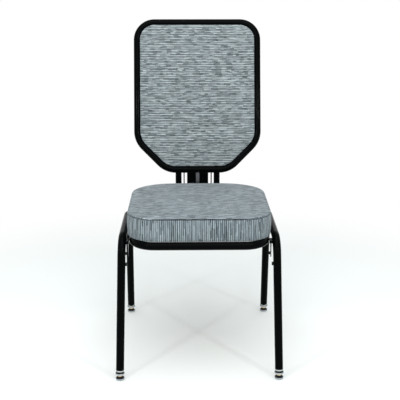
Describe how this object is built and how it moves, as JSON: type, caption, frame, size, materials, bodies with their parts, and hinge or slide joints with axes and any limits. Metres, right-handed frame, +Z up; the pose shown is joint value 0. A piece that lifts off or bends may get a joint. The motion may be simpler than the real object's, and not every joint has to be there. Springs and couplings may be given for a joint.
{
  "type": "stacking chair",
  "caption": "Stacking chair with bent-tube side frames, boxed seat cushion, framed upholstered back on a sprung pivot, and tilting glides.",
  "frame": {"origin": "on the floor, under the middle of the chair's box", "axes": "+Z up, the sitter faces -Y, +X to the sitter's left"},
  "size_m": [0.4646, 0.573, 0.9432],
  "materials": {
    "frame_enamel": "gloss black powder coat",
    "seat_fabric": "woven, slubbed grey",
    "back_fabric": "woven, slubbed grey",
    "plywood": "sanded plywood",
    "panel_board": "sanded plywood",
    "nickel_plate": "polished nickel",
    "brass_plate": "yellow passivated",
    "grey_nylon": "moulded",
    "black_nylon": "moulded",
    "zinc_steel": "zinc plated",
    "spring_steel": "oiled spring steel",
    "buffer_rubber": "moulded rubber"
  },
  "bodies": {
    "frame": {"buffer_shelf": "frame_enamel", "front_spacers": "frame_enamel", "glide_flanges": "nickel_plate", "glide_inserts": "black_nylon", "glide_rings": "grey_nylon", "glide_studs": "brass_plate", "left_gusset": "frame_enamel", "left_pivot_ear": "frame_enamel", "left_return_spring": "spring_steel", "left_side_frame": "frame_enamel", "pivot_cross_tube": "frame_enamel", "pivot_lock_nut": "zinc_steel", "pivot_shaft": "zinc_steel", "rear_spacers": "frame_enamel", "recline_buffer": "buffer_rubber", "rest_buffers": "buffer_rubber", "right_gusset": "frame_enamel", "right_pivot_ear": "frame_enamel", "right_return_spring": "spring_steel", "right_side_frame": "frame_enamel", "seat_board": "plywood", "seat_brackets": "frame_enamel", "seat_cushion": "seat_fabric", "seat_frame_splice": "frame_enamel", "seat_frame_tube": "frame_enamel", "seat_screws": "zinc_steel", "stacking_bumpers": "black_nylon"},
    "back": {"back_frame_splice": "frame_enamel", "back_frame_tube": "frame_enamel", "back_inner_panel": "panel_board", "back_pad": "back_fabric", "back_rear_pad": "back_fabric", "back_screws": "zinc_steel", "back_tabs": "frame_enamel", "left_flat_bar": "frame_enamel", "left_pivot_bush": "black_nylon", "left_upright_tube": "frame_enamel", "left_web_plate": "frame_enamel", "pivot_hub": "frame_enamel", "right_flat_bar": "frame_enamel", "right_pivot_bush": "black_nylon", "right_upright_tube": "frame_enamel", "right_web_plate": "frame_enamel", "stop_lever": "frame_enamel", "tie_plate": "spring_steel"},
    "front_left_glide": {"front_left_glide_cup": "nickel_plate", "front_left_glide_socket": "black_nylon", "front_left_glide_sole": "grey_nylon"},
    "front_right_glide": {"front_right_glide_cup": "nickel_plate", "front_right_glide_socket": "black_nylon", "front_right_glide_sole": "grey_nylon"},
    "rear_left_glide": {"rear_left_glide_cup": "nickel_plate", "rear_left_glide_socket": "black_nylon", "rear_left_glide_sole": "grey_nylon"},
    "rear_right_glide": {"rear_right_glide_cup": "nickel_plate", "rear_right_glide_socket": "black_nylon", "rear_right_glide_sole": "grey_nylon"}
  },
  "joints": [
    {"name": "back_recline", "type": "hinge", "parent": "frame", "child": "back", "pos_m": [0, 0.0375, 0.3559], "axis": [-1, 0, 0], "range_deg": [0, 8], "stiffness_Nm_per_rad": 300, "springref_deg": -3.44},
    {"name": "front_left_glide_tilt", "type": "hinge", "parent": "frame", "child": "front_left_glide", "pos_m": [0.21926, -0.27345, 0.0075], "axis": [1, 0, 0], "range_deg": [-8, 8]},
    {"name": "front_right_glide_tilt", "type": "hinge", "parent": "frame", "child": "front_right_glide", "pos_m": [-0.21926, -0.27345, 0.0075], "axis": [1, 0, 0], "range_deg": [-8, 8]},
    {"name": "rear_left_glide_tilt", "type": "hinge", "parent": "frame", "child": "rear_left_glide", "pos_m": [0.21926, 0.20081, 0.0075], "axis": [1, 0, 0], "range_deg": [-8, 8]},
    {"name": "rear_right_glide_tilt", "type": "hinge", "parent": "frame", "child": "rear_right_glide", "pos_m": [-0.21926, 0.20081, 0.0075], "axis": [1, 0, 0], "range_deg": [-8, 8]}
  ]
}
